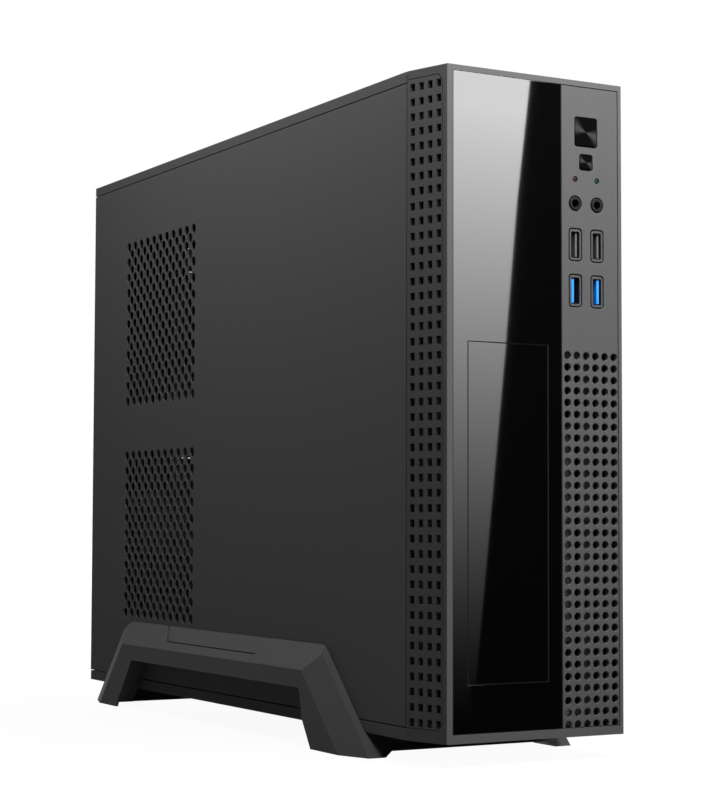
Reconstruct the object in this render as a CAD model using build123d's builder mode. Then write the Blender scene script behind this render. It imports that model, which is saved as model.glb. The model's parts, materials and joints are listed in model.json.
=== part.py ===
from build123d import *
import os
from math import cos, hypot, radians, sin, tan

os.makedirs("parts", exist_ok=True)

# Case envelope in millimetres: X across the front, Y to the back, Z up from the floor
case_width = 100.0
case_height = 290.8
case_depth = 386.0
foot_lift = 10.2
datum_z = 11.0
thumb_head_long = 8.0
sheet = 0.8

left_x = -case_width / 2
right_x = case_width / 2
front_y = -(case_depth + thumb_head_long) / 2
rear_y = front_y + case_depth
low_z = foot_lift
high_z = foot_lift + case_height

# Front bezel
bezel_depth = 22.5
bezel_wall = 2.4
flank_run = 6.7
flank_wall = 3.2
insert_thick = 2.0
face_wall = 4.4
rim = 2.8
edge_round = 2.0
bezel_back = front_y + bezel_depth
face_left_x = left_x + flank_run
insert_left_x = face_left_x + rim
insert_right_x = right_x - rim
insert_low_z = datum_z + 3.0
insert_high_z = high_z - 2.5
insert_gap = 0.15
split_x = 16.0
control_window = 21.5
control_margin = 13.0

# Side grille strip let into the slanted flank
strip_thick = 1.6
strip_start = 2.7
strip_low_z = datum_z + 4.6
strip_high_z = datum_z + 286.3
strip_columns = 4
strip_rows = 43
strip_pitch_u = 5.1
strip_pitch_z = 6.55
strip_first_u = 4.9
strip_hole_u = 2.7
strip_hole_z = 3.4
strip_hole_drop = 0.7

# Drive bay cover
bay_centre_x = -12.1
bay_wide = 41.2
bay_low_z = datum_z + 24.0
bay_high_z = datum_z + 170.4
bay_gap = 0.25
bay_tall = bay_high_z - bay_low_z
bay_mid_z = (bay_low_z + bay_high_z) / 2

# Controls on the grey panel
control_x = 29.6
column_half = 5.9
power_z = datum_z + 267.0
power_wide = 12.5
power_tall = 13.5
power_travel = 1.8
reset_z = datum_z + 253.4
reset_wide = 7.2
reset_travel = 1.2
button_gap = 0.2
led_z = datum_z + 245.5
led_radius = 1.4
jack_z = datum_z + 234.6
jack_ring = 3.6
jack_bore = 1.8
usb2_z = datum_z + 216.1
usb3_z = datum_z + 195.6
usb_wide = 7.2
usb_tall = 14.7
perf_columns = 6
perf_rows = 32
perf_pitch_x = 5.04
perf_pitch_z = 5.23
perf_low_z = datum_z + 4.5
perf_first_x = 19.3
perf_hole = 3.2
perf_mid_x = perf_first_x + perf_pitch_x * (perf_columns - 1) / 2
perf_mid_z = perf_low_z + perf_pitch_z * (perf_rows - 1) / 2
board_front_y = front_y + 16.0
board_thick = 1.6

# Sheet metal chassis and the sliding side panel
strip_low = 5.3
strip_top = 4.8
seam = 0.5
ledge_deep = 9.0
lip_tall = 10.0
side_flange = 10.0
panel_travel = 18.0
panel_front = bezel_back + 0.4
panel_low = low_z + strip_low + seam
panel_high = high_z - strip_top - seam
lip_x = left_x + ledge_deep
return_edge_x = lip_x - sheet - 0.6
hook_wide = 8.0
hook_toe = 9.0
hook_reach = 4.4
hook_starts = (-120.0, 0.0, 120.0)
wall_rear_y = rear_y - sheet - 0.1
wall_in_y = wall_rear_y - sheet
inner_right_x = right_x - sheet
vent_pitch = 22.1
vent_count = 5
vent_hole = 9.8
vent_mid_y = front_y + 290.0
vent_mid_z = (datum_z + 204.4, datum_z + 84.9)
thumb_x = -42.6
thumb_z = (datum_z + 45.0, high_z - 45.0)
thumb_shank = 1.7
thumb_hole = 1.8
thumb_head = 5.4
thumb_spots = [(-thumb_x, spot) for spot in thumb_z]

# Stand brackets
stand_gap = 0.3
stand_out = 10.0
stand_top_z = datum_z + 36.0
ridge_z = datum_z + 24.3
bar_low_z = datum_z + 16.0
foot_in = 45.5
crossbar_low_z = 2.4
crossbar_slope_x = 41.0
foot_skin = 1.2
foot_lip = 17.5

# Board and components on the right hand wall
standoff_long = 6.5
board_x = inner_right_x - standoff_long
board_top_x = board_x - board_thick
board_front = 3.0
board_rear = wall_in_y - 0.6
board_low_z = 44.0
board_high_z = 288.0
io_low_z = 124.0
io_tall = 158.75
io_wide = 44.45
io_right_x = 43.3
slot_pitch = 20.32
slot_top_z = 112.0
slot_total = 4
cooler_y = 108.0
cooler_z = 205.0


def block(x, y, z, mode=Mode.ADD):
    with BuildSketch(Plane.XY.offset(z[0]), mode=Mode.PRIVATE) as outline:
        with Locations(((x[0] + x[1]) / 2, (y[0] + y[1]) / 2)):
            Rectangle(x[1] - x[0], y[1] - y[0])
    extrude(outline.sketch, amount=z[1] - z[0], mode=mode)


def prism(plane, spots, radius, sides, length, mode=Mode.ADD):
    with BuildSketch(plane, mode=Mode.PRIVATE) as outline:
        with Locations(*spots):
            RegularPolygon(radius, sides)
    extrude(outline.sketch, amount=length, mode=mode)


def disc(plane, spots, radius, length, mode=Mode.ADD):
    with BuildSketch(plane, mode=Mode.PRIVATE) as outline:
        with Locations(*spots):
            Circle(radius)
    extrude(outline.sketch, amount=length, mode=mode)


def facing_front(y):
    return Plane(origin=(0, y, 0), x_dir=(1, 0, 0), z_dir=(0, -1, 0))


def facing_rear(y):
    return Plane(origin=(0, y, 0), x_dir=(-1, 0, 0), z_dir=(0, 1, 0))


def facing_left(x):
    return Plane(origin=(x, 0, 0), x_dir=(0, -1, 0), z_dir=(-1, 0, 0))


def facing_right(x):
    return Plane(origin=(x, 0, 0), x_dir=(0, 1, 0), z_dir=(1, 0, 0))


def save(builder, label):
    builder.part.label = label
    export_step(builder.part, "parts/" + label + ".step")


# Plane on the slanted flank: its X runs to the front edge and its Y runs up
flank_long = hypot(flank_run, bezel_depth)
flank_toward = (flank_run / flank_long, -bezel_depth / flank_long, 0)
flank_out = (-bezel_depth / flank_long, -flank_run / flank_long, 0)
flank_plane = Plane(origin=(face_left_x, front_y, 0), x_dir=flank_toward, z_dir=flank_out)
strip_end = flank_long - 0.6
strip_mid_z = (strip_low_z + strip_high_z) / 2
strip_tall = strip_high_z - strip_low_z
strip_hole_mid_u = strip_first_u + strip_pitch_u * (strip_columns - 1) / 2
airway_wide = strip_pitch_u * (strip_columns - 1) + strip_hole_u + 0.2
flank_shift = flank_wall * flank_long / bezel_depth

strip_corner = 2.5
strip_groove = 0.3


def strip_outline(gap):
    near = -strip_start - gap
    low = strip_low_z + gap
    high = strip_high_z - gap
    return (
        (-strip_end, low),
        (near - strip_corner, low),
        (near, low + strip_corner),
        (near, high - strip_corner),
        (near - strip_corner, high),
        (-strip_end, high),
    )


# Front bezel: moulded frame, hollow from behind
bezel_mid_z = (low_z + high_z) / 2
bezel_tall = high_z - low_z
clip_spots_z = (bezel_mid_z - 85, bezel_mid_z, bezel_mid_z + 110)
clip_x = (44.8, 48.0)
clip_long = 7.0
clip_root = 8.0
clip_half = 5.0
clip_gap = 0.3
boss_half = 2.0
boss_spots = ((18.0, 196.0), (42.0, 196.0), (18.0, 284.0), (42.0, 284.0))
with BuildPart() as front_bezel:
    with BuildSketch(Plane.XY.offset(low_z)):
        with BuildLine():
            Polyline(
                (face_left_x, front_y),
                (right_x, front_y),
                (right_x, bezel_back),
                (left_x, bezel_back),
                close=True,
            )
        make_face()
    extrude(amount=bezel_tall)
    right_edge = front_bezel.edges().filter_by(Axis.Z).sort_by(Axis.X)[-2:].sort_by(Axis.Y)[0]
    fillet(right_edge, radius=edge_round)
    with BuildSketch(Plane.XY.offset(low_z + bezel_wall)):
        with BuildLine():
            Polyline(
                (face_left_x + flank_shift - flank_run * face_wall / bezel_depth, front_y + face_wall),
                (right_x - bezel_wall, front_y + face_wall),
                (right_x - bezel_wall, bezel_back),
                (left_x + flank_shift, bezel_back),
                close=True,
            )
        make_face()
    extrude(amount=bezel_tall - 2 * bezel_wall, mode=Mode.SUBTRACT)
    # Recess for the two front inserts, then the windows behind them
    block(
        (insert_left_x, insert_right_x),
        (front_y, front_y + insert_thick),
        (insert_low_z, insert_high_z),
        Mode.SUBTRACT,
    )
    with BuildSketch(facing_front(front_y)):
        with Locations((bay_centre_x, bay_mid_z)):
            Rectangle(bay_wide + 2 * bay_gap, bay_tall + 2 * bay_gap)
        with Locations((control_x, (usb3_z + power_z) / 2)):
            Rectangle(control_window, power_z - usb3_z + 2 * control_margin)
        with Locations((perf_mid_x, perf_mid_z)):
            Rectangle(perf_pitch_x * perf_columns, perf_pitch_z * (perf_rows - 0.5))
    extrude(amount=-face_wall, mode=Mode.SUBTRACT)
    # Recess and airway for the side grille strip
    with BuildSketch(flank_plane):
        with BuildLine():
            Polyline(*strip_outline(0), close=True)
        make_face()
    extrude(amount=-strip_thick, mode=Mode.SUBTRACT)
    with BuildSketch(flank_plane):
        with Locations((-strip_hole_mid_u, strip_mid_z)):
            Rectangle(airway_wide, strip_tall - 2 * strip_corner)
    extrude(amount=-flank_wall * 1.5, mode=Mode.SUBTRACT)
    # Clip arms that pass through the front wall, and bosses for the connector board
    for spot_z in clip_spots_z:
        block(
            clip_x,
            (bezel_back - clip_root, bezel_back + clip_long),
            (spot_z - clip_half, spot_z + clip_half),
        )
    for spot_x, spot_z in boss_spots:
        block(
            (spot_x - boss_half, spot_x + boss_half),
            (front_y + face_wall, board_front_y),
            (spot_z - boss_half, spot_z + boss_half),
        )
save(front_bezel, "front_bezel")

# Side grille strip: plate with a grid of square holes
with BuildPart() as side_grille:
    with BuildSketch(flank_plane):
        with BuildLine():
            Polyline(*strip_outline(strip_groove), close=True)
        make_face()
        with Locations((-strip_hole_mid_u, strip_mid_z - strip_hole_drop)):
            with GridLocations(strip_pitch_u, strip_pitch_z, strip_columns, strip_rows):
                Rectangle(strip_hole_u, strip_hole_z, mode=Mode.SUBTRACT)
    extrude(amount=-strip_thick)
save(side_grille, "side_grille")

# Glossy panel round the drive bay
with BuildPart() as gloss_panel:
    block(
        (insert_left_x + insert_gap, split_x - insert_gap),
        (front_y, front_y + insert_thick),
        (insert_low_z + insert_gap, insert_high_z - insert_gap),
    )
    with BuildSketch(facing_front(front_y)):
        with Locations((bay_centre_x, bay_mid_z)):
            Rectangle(bay_wide + 2 * bay_gap, bay_tall + 2 * bay_gap)
    extrude(amount=-insert_thick, mode=Mode.SUBTRACT)
save(gloss_panel, "gloss_panel")

# Drive bay cover: flush plate with a skirt and two spring arms on each long side
cover_skirt = 14.0
cover_wall = 1.6
arm_long = 26.0
arm_half = 5.0
arm_offset = 48.0
with BuildPart() as bay_cover:
    block(
        (bay_centre_x - bay_wide / 2, bay_centre_x + bay_wide / 2),
        (front_y, front_y + cover_skirt),
        (bay_low_z, bay_high_z),
    )
    block(
        (bay_centre_x - bay_wide / 2 + cover_wall, bay_centre_x + bay_wide / 2 - cover_wall),
        (front_y + insert_thick, front_y + cover_skirt),
        (bay_low_z + cover_wall, bay_high_z - cover_wall),
        Mode.SUBTRACT,
    )
    for side in (-1, 1):
        for spot_z in (bay_mid_z - arm_offset, bay_mid_z + arm_offset):
            edge = bay_centre_x + side * (bay_wide / 2 - cover_wall)
            far = bay_centre_x + side * bay_wide / 2
            block(
                (min(edge, far), max(edge, far)),
                (front_y + cover_skirt, front_y + arm_long),
                (spot_z - arm_half, spot_z + arm_half),
            )
save(bay_cover, "bay_cover")

# Grey control panel: openings for the controls and the perforated field
with BuildPart() as control_panel:
    with BuildSketch(facing_front(front_y)):
        with Locations(((split_x + insert_right_x) / 2, (insert_low_z + insert_high_z) / 2)):
            Rectangle(
                insert_right_x - split_x - 2 * insert_gap,
                insert_high_z - insert_low_z - 2 * insert_gap,
            )
        with Locations((control_x, power_z)):
            Rectangle(power_wide + 2 * button_gap, power_tall + 2 * button_gap, mode=Mode.SUBTRACT)
        with Locations((control_x, reset_z)):
            Rectangle(reset_wide + 2 * button_gap, reset_wide + 2 * button_gap, mode=Mode.SUBTRACT)
        with Locations((control_x - column_half, led_z), (control_x + column_half, led_z)):
            RegularPolygon(led_radius + 0.1, 8, major_radius=False, mode=Mode.SUBTRACT)
        with Locations((control_x - column_half, jack_z), (control_x + column_half, jack_z)):
            RegularPolygon(jack_ring + 0.1, 12, major_radius=False, mode=Mode.SUBTRACT)
        for row_z in (usb2_z, usb3_z):
            with Locations((control_x - column_half, row_z), (control_x + column_half, row_z)):
                Rectangle(usb_wide, usb_tall, mode=Mode.SUBTRACT)
        with Locations((perf_mid_x, perf_mid_z)):
            with GridLocations(perf_pitch_x, perf_pitch_z, perf_columns, perf_rows):
                Rectangle(perf_hole, perf_hole, mode=Mode.SUBTRACT)
    extrude(amount=-insert_thick)
save(control_panel, "control_panel")


# Push buttons: cap, retaining flange behind the panel and a stem to the switch
cap_deep = 5.0
cap_flange = 0.9
stem_half = 1.5
stem_end = 10.0


def push_button(label, centre_z, wide, tall):
    with BuildPart() as button:
        block(
            (control_x - wide / 2, control_x + wide / 2),
            (front_y, front_y + cap_deep),
            (centre_z - tall / 2, centre_z + tall / 2),
        )
        block(
            (control_x - wide / 2 - cap_flange, control_x + wide / 2 + cap_flange),
            (front_y + insert_thick + 0.05, front_y + cap_deep),
            (centre_z - tall / 2 - cap_flange, centre_z + tall / 2 + cap_flange),
        )
        block(
            (control_x - stem_half, control_x + stem_half),
            (front_y + cap_deep, front_y + stem_end),
            (centre_z - stem_half, centre_z + stem_half),
        )
    save(button, label)


push_button("power_button", power_z, power_wide, power_tall)
push_button("reset_button", reset_z, reset_wide, reset_wide)


# Tact switches behind the buttons
switch_half = 3.0
switch_tall = 3.5
with BuildPart() as tact_switches:
    for centre_z, travel in ((power_z, power_travel), (reset_z, reset_travel)):
        block(
            (control_x - switch_half, control_x + switch_half),
            (board_front_y - switch_tall, board_front_y),
            (centre_z - switch_half, centre_z + switch_half),
        )
        prism(facing_front(board_front_y - switch_tall), [(control_x, centre_z)], 1.7, 8, 2.4 - travel)
save(tact_switches, "tact_switches")


# Light pipes from the board to the panel
def light_pipe(label, centre_x):
    with BuildPart() as pipe:
        prism(facing_front(board_front_y), [(centre_x, led_z)], led_radius, 8, board_front_y - front_y)
    save(pipe, label)


light_pipe("drive_light", control_x - column_half)
light_pipe("power_light", control_x + column_half)


# Audio jacks: round nose in the panel, square body on the board, plug bore
jack_half = 4.0
jack_deep = 14.5


def audio_jack(label, centre_x):
    with BuildPart() as jack:
        block(
            (centre_x - jack_half, centre_x + jack_half),
            (front_y + insert_thick, board_front_y),
            (jack_z - jack_half, jack_z + jack_half),
        )
        prism(facing_front(front_y + insert_thick), [(centre_x, jack_z)], jack_ring, 12, insert_thick)
        disc(facing_front(front_y), [(centre_x, jack_z)], jack_bore, -jack_deep, Mode.SUBTRACT)
    save(jack, label)


audio_jack("audio_jack_left", control_x - column_half)
audio_jack("audio_jack_right", control_x + column_half)


# USB ports: thin metal shell and a contact tongue to one side
usb_wall = 0.9
usb_tongue = 1.9
usb_back = 1.5


def usb_pair(label, centre_z, tongue_shifts):
    half_wide = usb_wide / 2
    half_tall = usb_tall / 2
    columns = (control_x - column_half, control_x + column_half)
    with BuildPart() as shells:
        for centre_x in columns:
            block(
                (centre_x - half_wide, centre_x + half_wide),
                (front_y + 0.1, board_front_y),
                (centre_z - half_tall, centre_z + half_tall),
            )
            block(
                (centre_x - half_wide + usb_wall, centre_x + half_wide - usb_wall),
                (front_y + 0.1, board_front_y - usb_back),
                (centre_z - half_tall + usb_wall, centre_z + half_tall - usb_wall),
                Mode.SUBTRACT,
            )
    save(shells, label + "_shells")
    with BuildPart() as tongues:
        for centre_x, shift in zip(columns, tongue_shifts):
            block(
                (centre_x + shift - usb_tongue / 2, centre_x + shift + usb_tongue / 2),
                (front_y + 2.0, board_front_y - usb_back),
                (centre_z - half_tall + usb_wall + 1, centre_z + half_tall - usb_wall - 1),
            )
    save(tongues, label + "_tongues")


usb_pair("usb2", usb2_z, (0.9, 0.9))
usb_pair("usb3", usb3_z, (-0.9, 0.3))

# Front connector board on its bosses
front_board_x = (15.5, 44.5)
front_board_z = (193.0, 287.0)
with BuildPart() as front_board:
    block(front_board_x, (board_front_y, board_front_y + board_thick), front_board_z)
save(front_board, "front_board")

# Chassis base and top: one bent sheet each, with the ledge and lip that take the side panel
slot_clear = 0.6


def bent_cover(label, outer_z, inward, strip_edge):
    ledge_z = outer_z + inward * strip_edge
    with BuildPart() as cover:
        with BuildSketch(Plane.XZ.offset(-bezel_back)):
            with BuildLine():
                Polyline(
                    (left_x, outer_z),
                    (inner_right_x, outer_z),
                    (inner_right_x, outer_z + inward * side_flange),
                    (inner_right_x - sheet, outer_z + inward * side_flange),
                    (inner_right_x - sheet, outer_z + inward * sheet),
                    (left_x + sheet, outer_z + inward * sheet),
                    (left_x + sheet, ledge_z - inward * sheet),
                    (lip_x, ledge_z - inward * sheet),
                    (lip_x, ledge_z + inward * lip_tall),
                    (lip_x - sheet, ledge_z + inward * lip_tall),
                    (lip_x - sheet, ledge_z),
                    (left_x, ledge_z),
                    close=True,
                )
            make_face()
        extrude(amount=-(rear_y - bezel_back))
        # Room for the rear wall, and hook slots in the lip
        edges = (ledge_z, ledge_z + inward * (lip_tall + 1))
        block((lip_x - sheet, lip_x), (wall_in_y, rear_y), (min(edges), max(edges)), Mode.SUBTRACT)
        slot_edges = (ledge_z, ledge_z + inward * (seam + sheet + slot_clear))
        for start in hook_starts:
            block(
                (lip_x - sheet, lip_x),
                (start - slot_clear, start + hook_wide + panel_travel + slot_clear),
                (min(slot_edges), max(slot_edges)),
                Mode.SUBTRACT,
            )
    save(cover, label)


stand_screw_x = 30.0
stand_screw_y = (front_y + 76.0, front_y + 346.0)
bent_cover("chassis_base", low_z, 1, strip_low)
bent_cover("chassis_top", high_z, -1, strip_top)

# Right hand wall: plain skin that carries the main board
with BuildPart() as right_wall:
    block((inner_right_x, right_x), (bezel_back, rear_y), (low_z, high_z))
save(right_wall, "right_wall")

# Front wall with windows for the bay, the connectors and the intake
flange_z = (low_z + side_flange + 2, high_z - side_flange - 2)
connector_window = ((17.0, 43.0), (197.0, 286.0))
intake_window = ((14.0, 43.0), (20.0, 176.0))
bay_window = ((bay_centre_x - 21, bay_centre_x + 21), (bay_low_z - 0.6, bay_high_z + 0.6))
with BuildPart() as front_wall:
    block((lip_x, inner_right_x - sheet), (bezel_back, bezel_back + sheet), (low_z + sheet, high_z - sheet))
    block((inner_right_x - sheet, inner_right_x), (bezel_back, bezel_back + side_flange), flange_z)
    for window_x, window_z in (bay_window, connector_window, intake_window):
        block(window_x, (bezel_back, bezel_back + sheet), window_z, Mode.SUBTRACT)
    for spot_z in clip_spots_z:
        block(
            (clip_x[0] - clip_gap, clip_x[1] + clip_gap),
            (bezel_back, bezel_back + sheet),
            (spot_z - clip_half - clip_gap, spot_z + clip_half + clip_gap),
            Mode.SUBTRACT,
        )
save(front_wall, "front_wall")

# Rear wall: connector opening, slots with their screw shelf, mains inlet, vent and thumbscrew holes
inlet_x = -19.0
inlet_z = 262.0
inlet_wide = 20.0
inlet_tall = 27.6
shelf_x = -35.2
shelf_long = 14.0
slot_spots = [slot_top_z - slot_pitch * index for index in range(slot_total)]
slot_edge = (-31.0, 40.6)
slot_half = 6.0
louvre_rows = 3
louvre_pitch = 9.0
louvre_z = 160.0
louvre_wide = 22.0
louvre_tall = 5.0
io_z = (io_low_z, io_low_z + io_tall)
with BuildPart() as rear_wall:
    block((lip_x, inner_right_x - sheet), (wall_in_y, wall_rear_y), (low_z + sheet, high_z - sheet))
    block((left_x + sheet + 0.5, lip_x), (wall_in_y, wall_rear_y), (panel_low + 2, panel_high - 2))
    block((inner_right_x - sheet, inner_right_x), (wall_rear_y - side_flange, wall_rear_y), flange_z)
    block((io_right_x - io_wide, io_right_x), (wall_in_y, wall_rear_y), io_z, Mode.SUBTRACT)
    for spot_z in slot_spots:
        block(slot_edge, (wall_in_y, wall_rear_y), (spot_z - slot_half, spot_z + slot_half), Mode.SUBTRACT)
    block(
        (inlet_x - inlet_wide / 2, inlet_x + inlet_wide / 2),
        (wall_in_y, wall_rear_y),
        (inlet_z - inlet_tall / 2, inlet_z + inlet_tall / 2),
        Mode.SUBTRACT,
    )
    with BuildSketch(facing_rear(wall_rear_y)):
        with Locations((-inlet_x, louvre_z)):
            with GridLocations(1, louvre_pitch, 1, louvre_rows):
                Rectangle(louvre_wide, louvre_tall)
    extrude(amount=-sheet, mode=Mode.SUBTRACT)
    prism(facing_rear(wall_rear_y), thumb_spots, thumb_hole * 1.05, 8, -sheet, Mode.SUBTRACT)
    shelf_z = (slot_spots[-1] - 11, slot_spots[0] + 11)
    block((shelf_x - sheet, shelf_x), (wall_in_y - shelf_long, wall_in_y), shelf_z)
save(rear_wall, "rear_wall")

# Sliding side panel: skin with two staggered vents, folded edges, hooks and a rear screw flange
screw_flange = 14.5
front_fold = 5.0
with BuildPart() as side_panel:
    for fold_z in (panel_low, panel_high - sheet):
        with BuildSketch(Plane.XY.offset(fold_z)):
            with Locations(((left_x + return_edge_x) / 2, (panel_front + rear_y) / 2)):
                Rectangle(return_edge_x - left_x, rear_y - panel_front)
            for start in hook_starts:
                with BuildLine():
                    Polyline(
                        (return_edge_x - 1, start),
                        (lip_x + 0.3, start),
                        (lip_x + 0.3, start - hook_toe),
                        (return_edge_x + hook_reach, start - hook_toe),
                        (return_edge_x + hook_reach, start + hook_wide),
                        (return_edge_x - 1, start + hook_wide),
                        close=True,
                    )
                make_face()
        extrude(amount=sheet)
    block((left_x, left_x + front_fold), (panel_front, panel_front + sheet), (panel_low, panel_high))
    block((left_x, left_x + screw_flange), (rear_y - sheet, rear_y), (panel_low, panel_high))
    prism(facing_rear(rear_y), thumb_spots, thumb_hole * 1.05, 8, -sheet, Mode.SUBTRACT)
    with BuildSketch(facing_left(left_x)):
        with Locations((-(panel_front + rear_y) / 2, (panel_low + panel_high) / 2)):
            Rectangle(rear_y - panel_front, panel_high - panel_low)
        for centre_z in vent_mid_z:
            with Locations((-vent_mid_y, centre_z)):
                for count in (vent_count, vent_count - 1):
                    with GridLocations(vent_pitch, vent_pitch, count, count):
                        Rectangle(vent_hole, vent_hole, rotation=45, mode=Mode.SUBTRACT)
    extrude(amount=-sheet)
save(side_panel, "side_panel")


# Captive thumbscrews on the panel's rear flange
thumb_teeth = 8


def thumbscrew(label, centre_z):
    with BuildPart() as screw:
        prism(facing_rear(rear_y), [(-thumb_x, centre_z)], thumb_head, thumb_teeth, thumb_head_long)
        with BuildSketch(facing_rear(rear_y + 1.5)):
            with Locations((-thumb_x, centre_z)):
                with PolarLocations(thumb_head, thumb_teeth):
                    RegularPolygon(0.7, 4)
        extrude(amount=thumb_head_long - 2.5, mode=Mode.SUBTRACT)
        block(
            (thumb_x - 3.5, thumb_x + 3.5),
            (rear_y + thumb_head_long - 1.4, rear_y + thumb_head_long),
            (centre_z - 0.6, centre_z + 0.6),
            Mode.SUBTRACT,
        )
        prism(facing_rear(rear_y), [(-thumb_x, centre_z)], thumb_shank, 8, -7.0)
    save(screw, label)


thumbscrew("thumbscrew_lower", thumb_z[0])
thumbscrew("thumbscrew_upper", thumb_z[1])

# Stand: arched side bracket with bevelled edges, feet and cross bars that meet under the case
stand_inner_x = left_x - stand_gap
stand_outer_x = left_x - stand_out
front_toe = front_y + 47.5
front_shoulder = front_y + 95.0
rear_shoulder = front_y + 322.0
rear_toe = front_y + 365.0
front_inner = front_y + 91.4
rear_inner = front_y + 322.5
front_knee = front_y + 100.0
knee_z = 13.0
arch_front = front_y + 103.2
arch_rear = front_y + 301.6
front_bar_top = front_toe + 10.3
rear_bar_top = rear_toe - 9.4
recess_front = front_y + 147.2
recess_rear = front_y + 273.7
recess_front_slant = 7.5
recess_rear_slant = 12.6
recess_tall = 9.4
recess_deep = 0.7


def bevel(edge_a, edge_b, ridge_point):
    along = Vector(*edge_b) - Vector(*edge_a)
    across = Vector(*ridge_point) - Vector(*edge_a)
    normal = along.cross(across)
    if normal.X > 0:
        normal = -normal
    return Plane(origin=edge_a, x_dir=along.normalized(), z_dir=normal.normalized())


top_edge_x = stand_inner_x - 0.8
leg_edge_x = stand_inner_x - 3.8
front_bevel = 17.5
rear_bevel = 18.0
bevel_planes = (
    bevel((top_edge_x, 0, stand_top_z), (top_edge_x, 100, stand_top_z), (stand_outer_x, 0, ridge_z)),
    bevel(
        (leg_edge_x, front_toe, 0),
        (leg_edge_x, front_shoulder, stand_top_z),
        (stand_outer_x, front_toe + front_bevel, 0),
    ),
    bevel(
        (leg_edge_x, rear_toe, 0),
        (leg_edge_x, rear_shoulder, stand_top_z),
        (stand_outer_x, rear_toe - rear_bevel, 0),
    ),
)
head_seat = 3.0
with BuildPart() as stand_left:
    # Arch bracket in side view
    with BuildSketch(facing_left(stand_inner_x)):
        with BuildLine():
            FilletPolyline(
                (-front_toe, 0),
                (-front_shoulder, stand_top_z),
                (-rear_shoulder, stand_top_z),
                (-rear_toe, 0),
                radius=7,
            )
            Polyline(
                (-rear_toe, 0),
                (-rear_inner, 0),
                (-rear_inner + 1.2, crossbar_low_z),
                (-arch_rear, bar_low_z),
                (-arch_front, bar_low_z),
                (-front_knee, knee_z),
                (-front_inner, 0),
                (-front_toe, 0),
            )
        make_face()
    extrude(amount=stand_inner_x - stand_outer_x)
    for cut in bevel_planes:
        split(bisect_by=cut, keep=Keep.BOTTOM)
    # Shallow recess in the upper bevel, with slanted ends
    with BuildSketch(bevel_planes[0]):
        with BuildLine():
            Polyline(
                (recess_front, -1.5),
                (recess_rear, -1.5),
                (recess_rear - recess_rear_slant, recess_tall),
                (recess_front + recess_front_slant, recess_tall),
                close=True,
            )
        make_face()
    extrude(amount=-recess_deep, mode=Mode.SUBTRACT)
    # Feet and cross bars under the case, both with the slope of the legs
    for toe, bar_top, inner in (
        (front_toe, front_bar_top, front_inner),
        (rear_toe, rear_bar_top, rear_inner),
    ):
        with BuildSketch(facing_right(stand_inner_x)):
            with BuildLine():
                Polyline((toe, 0), (bar_top, low_z), (inner, low_z), (inner, 0), close=True)
            make_face()
        extrude(amount=-stand_inner_x)
    with BuildSketch(Plane.XZ.offset(-front_y)):
        with BuildLine():
            Polyline(
                (-foot_in, 0),
                (-crossbar_slope_x, crossbar_low_z),
                (0, crossbar_low_z),
                (0, 0),
                close=True,
            )
        make_face()
    extrude(amount=-case_depth, mode=Mode.SUBTRACT)
    block(
        (stand_outer_x + foot_skin, 0),
        (front_toe + foot_lip, rear_toe - foot_lip),
        (0, crossbar_low_z),
        Mode.SUBTRACT,
    )
    for spot_y in stand_screw_y:
        prism(Plane.XY.offset(crossbar_low_z), [(-stand_screw_x, spot_y)], 3.6, 6, head_seat, Mode.SUBTRACT)
save(stand_left, "stand_left")

with BuildPart() as stand_right:
    mirror(stand_left.part, about=Plane.YZ)
save(stand_right, "stand_right")

# Stand screws: heads in their seats under the cross bars
with BuildPart() as stand_screws:
    for spot_x in (-stand_screw_x, stand_screw_x):
        for spot_y in stand_screw_y:
            prism(Plane.XY.offset(crossbar_low_z + 0.6), [(spot_x, spot_y)], 3.2, 6, head_seat - 0.6)
save(stand_screws, "stand_screws")

# Drive cage: bent channel behind the bay, open to the side panel
cage_x = (bay_centre_x - 21.7, bay_centre_x + 21.7)
cage_y = (bezel_back + sheet, bezel_back + 152.0)
cage_z = (bay_low_z - 0.6, bay_high_z + 0.6)
with BuildPart() as drive_cage:
    with BuildSketch(Plane.XZ.offset(-cage_y[0])):
        with BuildLine():
            Polyline(
                (cage_x[0], cage_z[0] - sheet),
                (cage_x[1], cage_z[0] - sheet),
                (cage_x[1], cage_z[1] + sheet),
                (cage_x[0], cage_z[1] + sheet),
                (cage_x[0], cage_z[1]),
                (cage_x[1] - sheet, cage_z[1]),
                (cage_x[1] - sheet, cage_z[0]),
                (cage_x[0], cage_z[0]),
                close=True,
            )
        make_face()
    extrude(amount=-(cage_y[1] - cage_y[0]))
    for offset_y in (30.0, 79.0):
        block(
            (bay_centre_x - 12, bay_centre_x + 12),
            (cage_y[0] + offset_y, cage_y[0] + offset_y + 3.4),
            (cage_z[0] - sheet, cage_z[1] + sheet),
            Mode.SUBTRACT,
        )
    # Foot that stands the cage on the chassis base
    block((cage_x[1] - sheet, cage_x[1]), (cage_y[0], cage_y[1]), (low_z + sheet, cage_z[0]))
    block((cage_x[1] - 12, cage_x[1]), (cage_y[0] + 20, cage_y[1]), (low_z + sheet, low_z + 2 * sheet))
save(drive_cage, "drive_cage")

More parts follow.
